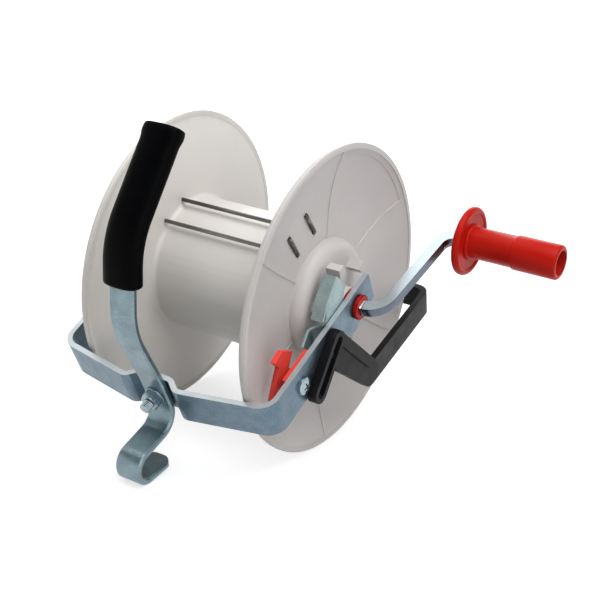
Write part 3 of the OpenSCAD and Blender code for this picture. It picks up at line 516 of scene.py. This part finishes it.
def sleeve_line(sizes, start):
    """Places and headings along the middle of the sleeve: upright, then a bend, then a straight lean"""
    y, z = start
    heading = math.pi / 2
    places = []

    def go_straight(length):
        """Adds the places of a straight length, and moves on to its end"""
        nonlocal y, z
        count = max(2, round(length / SLEEVE_SPACING))
        for i in range(count):
            s = length * i / count
            places.append((y + s * math.cos(heading), z + s * math.sin(heading), heading))
        y += length * math.cos(heading)
        z += length * math.sin(heading)

    go_straight(sizes.sleeve_tuck)
    radius, lean = sizes.sleeve_bend, sizes.sleeve_lean
    middle_y = y + radius * math.sin(heading)
    middle_z = z - radius * math.cos(heading)
    count = max(2, round(lean * radius / SLEEVE_SPACING))
    for i in range(count):
        a = heading - lean * i / count
        places.append((middle_y - radius * math.sin(a), middle_z + radius * math.cos(a), a))
    heading -= lean
    y = middle_y - radius * math.sin(heading)
    z = middle_z + radius * math.cos(heading)
    go_straight(sizes.sleeve_straight)
    places.append((y, z, heading))
    return places


def lip_flare(sizes, left):
    """Flare of the sleeve at a distance from its free end"""
    rise = (sizes.lip_length - left) / (LIP_RISE_SHARE * sizes.lip_length)
    rise = min(1.0, max(0.0, rise))
    fall = min(1.0, LIP_END_SHARE + left / (LIP_FALL_SHARE * sizes.lip_length))
    return sizes.sleeve_lip * rise * rise * (3 - 2 * rise) * fall


def sleeve_mesh(sizes, middle_x, places):
    """The sleeve: a squared oval along its line, with rounded ends and a flared lip"""
    half_width, half_depth = sizes.sleeve_width / 2, sizes.sleeve_depth / 2
    mesh = bmesh.new()
    rings = []

    def add_ring(place, swell, shift):
        """Adds a ring of points, swelled past the sleeve's side and shifted along its line"""
        y, z, heading = place
        ring = []
        for k in range(SLEEVE_AROUND):
            a = 2 * math.pi * k / SLEEVE_AROUND
            c, s = math.cos(a), math.sin(a)
            across = (half_width + swell) * math.copysign(abs(c) ** SLEEVE_SQUARE, c)
            out = (half_depth + swell) * math.copysign(abs(s) ** SLEEVE_SQUARE, s)
            ring.append(mesh.verts.new((
                middle_x + across,
                y - out * math.sin(heading) + shift * math.cos(heading),
                z + out * math.cos(heading) + shift * math.sin(heading))))
        rings.append(ring)

    for inset, shift in SLEEVE_FOOT_RINGS:
        add_ring(places[0], -inset, shift)
    last = len(places) - 1
    for i in range(1, last + 1):
        left = sum(math.dist(places[j][:2], places[j + 1][:2]) for j in range(i, last))
        add_ring(places[i], lip_flare(sizes, left), -SLEEVE_TOP_DROP if i == last else 0.0)
    for inset, shift in SLEEVE_TOP_RINGS:
        add_ring(places[last], -inset, shift)
    for one, two in zip(rings, rings[1:]):
        join_rings(mesh, one, two)
    for end in (rings[0][::-1], rings[-1]):
        mesh.faces.new(end).smooth = True
    bmesh.ops.recalc_face_normals(mesh, faces=mesh.faces)
    return mesh


def floor_mesh():
    """A flat round floor that sweeps up into a backdrop all round"""
    rows = [(FLOOR_MIDDLE, 0.0)]
    for i in range(FLOOR_ROWS + 1):
        a = math.pi / 2 * i / FLOOR_ROWS
        rows.append((FLOOR_FLAT + FLOOR_SWEEP * math.sin(a), FLOOR_LIFT * (1 - math.cos(a))))
    mesh = bmesh.new()
    rings = []
    for reach, height in rows:
        ring = []
        for k in range(FLOOR_AROUND):
            a = 2 * math.pi * k / FLOOR_AROUND
            ring.append(mesh.verts.new((reach * math.cos(a), reach * math.sin(a), height - FLOOR_DROP)))
        rings.append(ring)
    mesh.faces.new(rings[0])
    for inner, outer in zip(rings, rings[1:]):
        join_rings(mesh, outer, inner)
    return mesh


def soft_box(scene, name, place, width, height, power):
    """A lamp with a soft face, aimed at the reel"""
    lamp = bpy.data.lights.new(name, "AREA")
    lamp.shape = "RECTANGLE"
    lamp.size = width
    lamp.size_y = height
    lamp.energy = power
    holder = bpy.data.objects.new(name, lamp)
    holder.location = place
    holder.rotation_euler = (LAMP_AIM - Vector(place)).to_track_quat("-Z", "Y").to_euler()
    scene.collection.objects.link(holder)


def photo_camera(scene):
    """The camera of the photograph"""
    lens = bpy.data.cameras.new("photo_view")
    lens.sensor_width = SENSOR_WIDTH
    lens.lens = LENS_LENGTH
    camera = bpy.data.objects.new("photo_view", lens)
    right = CAMERA_RIGHT.normalized()
    up = (CAMERA_UP - CAMERA_UP.dot(right) * right).normalized()
    turn = Matrix((right, up, right.cross(up))).transposed().to_4x4()
    camera.matrix_world = Matrix.Translation(AXLE + EYE_FROM_AXLE) @ turn
    scene.collection.objects.link(camera)
    scene.camera = camera


class FENCEREEL_OT_bars(bpy.types.Operator):
    """Zinc plating on the frame, the strap, the crank bar and the lock leaf, with a painted highlight on the
    frame's edges and a painted highlight and painted shade on the crank bar
    """

    bl_idname = "fencereel.bars"
    bl_label = "Zinc bars"

    def execute(self, context):
        colours = context.scene.fence_reel_colours
        sizes = context.scene.fence_reel_sizes
        # The frame's flat bar gets a painted highlight on its edges
        zinc = zinc_finish("Zinc plated bar", colours.zinc_dull, colours.zinc,
                           way=across_bar(sizes.frame_lean), bright=colours.edge_painted_highlight)
        dress(["frame_yoke"], zinc, sizes.bar_edge)
        strap = zinc_finish("Zinc plated strap", colours.strap_dull, colours.strap)
        dress(["handle_strap"], strap, sizes.bar_edge)
        # The crank bar: painted shade on its sides, and a painted highlight on the faces that look across it
        crank = zinc_finish("Crank zinc, painted highlight and shade", toned(colours.crank_painted_shade, share=0.8), colours.crank_painted_shade,
                            rough=(0.18, 0.27), way=across_bar(sizes.crank_angle), bright=colours.bright)
        dress(["crank_bar"], crank, sizes.bar_edge)
        leaf = zinc_finish("Dull leaf plating", toned(colours.leaf, share=0.72), colours.leaf,
                           rough=(0.50, 0.62))
        dress(["lock_leaf"], leaf, sizes.leaf_edge)
        return {"FINISHED"}


class FENCEREEL_OT_fasteners(bpy.types.Operator):
    """Bright plating on the bolts, nuts, clips and rivets"""

    bl_idname = "fencereel.fasteners"
    bl_label = "Fasteners"

    def execute(self, context):
        colours = context.scene.fence_reel_colours
        sizes = context.scene.fence_reel_sizes
        plated = zinc_finish("Plated fasteners", toned(colours.fastener, share=0.75), colours.fastener,
                             rough=(0.20, 0.34))
        dress(["clamp_bolt", "clamp_washer", "clamp_nut", "lock_screw", "lock_nut",
               "guide_rivets", "grip_clip", "axle_clip"], plated, sizes.fastener_edge)
        return {"FINISHED"}


class FENCEREEL_OT_wires(bpy.types.Operator):
    """Dull steel on the contact wires"""

    bl_idname = "fencereel.wires"
    bl_label = "Contact wires"

    def execute(self, context):
        colours = context.scene.fence_reel_colours
        wire = wire_finish("Contact wire", toned(colours.wire, share=0.3), colours.wire)
        dress(["contact_wires"], wire, 0.0)
        return {"FINISHED"}


class FENCEREEL_OT_spool(bpy.types.Operator):
    """Off-white moulded plastic on the drum and the flanges, with painted shade on the crank side flange"""

    bl_idname = "fencereel.spool"
    bl_label = "Drum and flanges"

    def execute(self, context):
        colours = context.scene.fence_reel_colours
        sizes = context.scene.fence_reel_sizes
        whites = (
            ("Off-white plastic", colours.white_cool, colours.white, ["drum_barrel", "left_flange"]),
            # The crank side flange's darker white is painted shade
            ("Crank side plastic with painted shade", colours.crank_flange_painted_shade_cool, colours.crank_flange_painted_shade, ["right_flange"]),
        )
        for name, low, high, nodes in whites:
            white = plastic_finish(name, low, high, rough=(0.34, 0.46), skin=0.10, gloss=0.5, cloud=14.0)
            dress(nodes, white, sizes.moulded_edge)
        return {"FINISHED"}


class FENCEREEL_OT_red(bpy.types.Operator):
    """Red moulded plastic on the crank grip, the bushes, the collars and the lever, with painted light on the
    lever
    """

    bl_idname = "fencereel.red"
    bl_label = "Red pieces"

    def execute(self, context):
        colours = context.scene.fence_reel_colours
        sizes = context.scene.fence_reel_sizes
        red = plastic_finish("Red plastic", colours.red_deep, colours.red, rough=(0.29, 0.38), skin=0.12,
                             gloss=0.10, cloud=40.0)
        dress(["crank_grip", "right_bush", "right_collar", "left_bush", "left_collar"], red,
              sizes.moulded_edge)
        # The lever's paler red is painted light
        lever = plastic_finish("Lever plastic with painted light", toned(colours.lever_red_painted_light, share=0.9), colours.lever_red_painted_light,
                               rough=(0.30, 0.42), skin=0.12, gloss=0.3, cloud=40.0)
        dress(["lock_lever"], lever, sizes.moulded_edge)
        return {"FINISHED"}


class FENCEREEL_OT_beads(bpy.types.Operator):
    """Rolled rim of the guard disc, and the bead at the root of the grip's barrel"""

    bl_idname = "fencereel.beads"
    bl_label = "Grip beads"

    def execute(self, context):
        sizes = context.scene.fence_reel_sizes
        rim, root = sizes.rim_bead, sizes.root_bead
        beads = (
            ("guard_rim", rim, sizes.guard_size / 2 - rim, rim),
            ("grip_root", root, sizes.barrel_size / 2, sizes.guard_thickness + ROOT_BEAD_SHARE * root),
        )
        for name, bead, reach, along in beads:
            mesh = bead_ring(bead, reach, along)
            piece = new_piece(context.scene, name, mesh, bpy.data.materials["Red plastic"])
            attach(piece, "grip")
        return {"FINISHED"}


class FENCEREEL_OT_guide(bpy.types.Operator):
    """Dark moulded plastic on the wire guide"""

    bl_idname = "fencereel.guide"
    bl_label = "Wire guide"

    def execute(self, context):
        colours = context.scene.fence_reel_colours
        sizes = context.scene.fence_reel_sizes
        dark = plastic_finish("Dark plastic", toned(colours.dark, share=0.75), colours.dark,
                              rough=(0.40, 0.52), skin=0.18, gloss=0.12, cloud=45.0)
        dress(["wire_guide"], dark, sizes.moulded_edge)
        return {"FINISHED"}


class FENCEREEL_OT_sleeve(bpy.types.Operator):
    """Black sleeve on the handle, with a flared end"""

    bl_idname = "fencereel.sleeve"
    bl_label = "Handle sleeve"

    def execute(self, context):
        colours = context.scene.fence_reel_colours
        sizes = context.scene.fence_reel_sizes
        low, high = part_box("handle_grip")
        places = sleeve_line(sizes, (low[1] + sizes.sleeve_depth / 2, low[2]))
        mesh = sleeve_mesh(sizes, (low[0] + high[0]) / 2, places)
        black = plastic_finish("Black sleeve", colours.black, toned(colours.black, share=1.6),
                               rough=(0.34, 0.46), skin=0.25, gloss=0.028, cloud=30.0, grain=1100.0)
        piece = new_piece(context.scene, "handle_sleeve", mesh, black)
        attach(piece, "frame")
        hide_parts("handle_grip")
        return {"FINISHED"}


class FENCEREEL_OT_stage(bpy.types.Operator):
    """Pale floor, soft light and the camera"""

    bl_idname = "fencereel.stage"
    bl_label = "Stage"

    def execute(self, context):
        scene = context.scene
        scene.view_settings.view_transform = "Standard"
        pale = floor_finish("Pale floor", scene.fence_reel_colours.floor)
        new_piece(scene, "floor", floor_mesh(), pale)
        world = bpy.data.worlds.new("Studio")
        scene.world = world
        world.use_nodes = True
        room = world.node_tree.nodes["Background"]
        room.inputs["Color"].default_value = ROOM_COLOUR
        room.inputs["Strength"].default_value = ROOM_STRENGTH
        for box in SOFT_BOXES:
            soft_box(scene, *box)
        photo_camera(scene)
        return {"FINISHED"}


class FENCEREEL_PT_panel(bpy.types.Panel):
    """Lists the steps of the reel's looks, its sizes and its colours"""

    bl_idname = "FENCEREEL_PT_panel"
    bl_label = "Fence reel"
    bl_space_type = "VIEW_3D"
    bl_region_type = "UI"
    bl_category = "Fence reel"

    def draw(self, context):
        for step in STEPS:
            self.layout.operator(step.bl_idname)
        for group in (context.scene.fence_reel_sizes, context.scene.fence_reel_colours):
            for name in group.__annotations__:
                self.layout.prop(group, name)


STEPS = (
    FENCEREEL_OT_bars,
    FENCEREEL_OT_fasteners,
    FENCEREEL_OT_wires,
    FENCEREEL_OT_spool,
    FENCEREEL_OT_red,
    FENCEREEL_OT_beads,
    FENCEREEL_OT_guide,
    FENCEREEL_OT_sleeve,
    FENCEREEL_OT_stage,
)
CLASSES = (FenceReelSizes, FenceReelColours, *STEPS, FENCEREEL_PT_panel)


def register():
    for cls in CLASSES:
        bpy.utils.register_class(cls)
    bpy.types.Scene.fence_reel_sizes = bpy.props.PointerProperty(type=FenceReelSizes)
    bpy.types.Scene.fence_reel_colours = bpy.props.PointerProperty(type=FenceReelColours)


def unregister():
    del bpy.types.Scene.fence_reel_colours
    del bpy.types.Scene.fence_reel_sizes
    for cls in reversed(CLASSES):
        bpy.utils.unregister_class(cls)


def main():
    register()
    bpy.ops.fencereel.bars()
    bpy.ops.fencereel.fasteners()
    bpy.ops.fencereel.wires()
    bpy.ops.fencereel.spool()
    bpy.ops.fencereel.red()
    bpy.ops.fencereel.beads()
    bpy.ops.fencereel.guide()
    bpy.ops.fencereel.sleeve()
    bpy.ops.fencereel.stage()


if __name__ == "__main__":
    main()
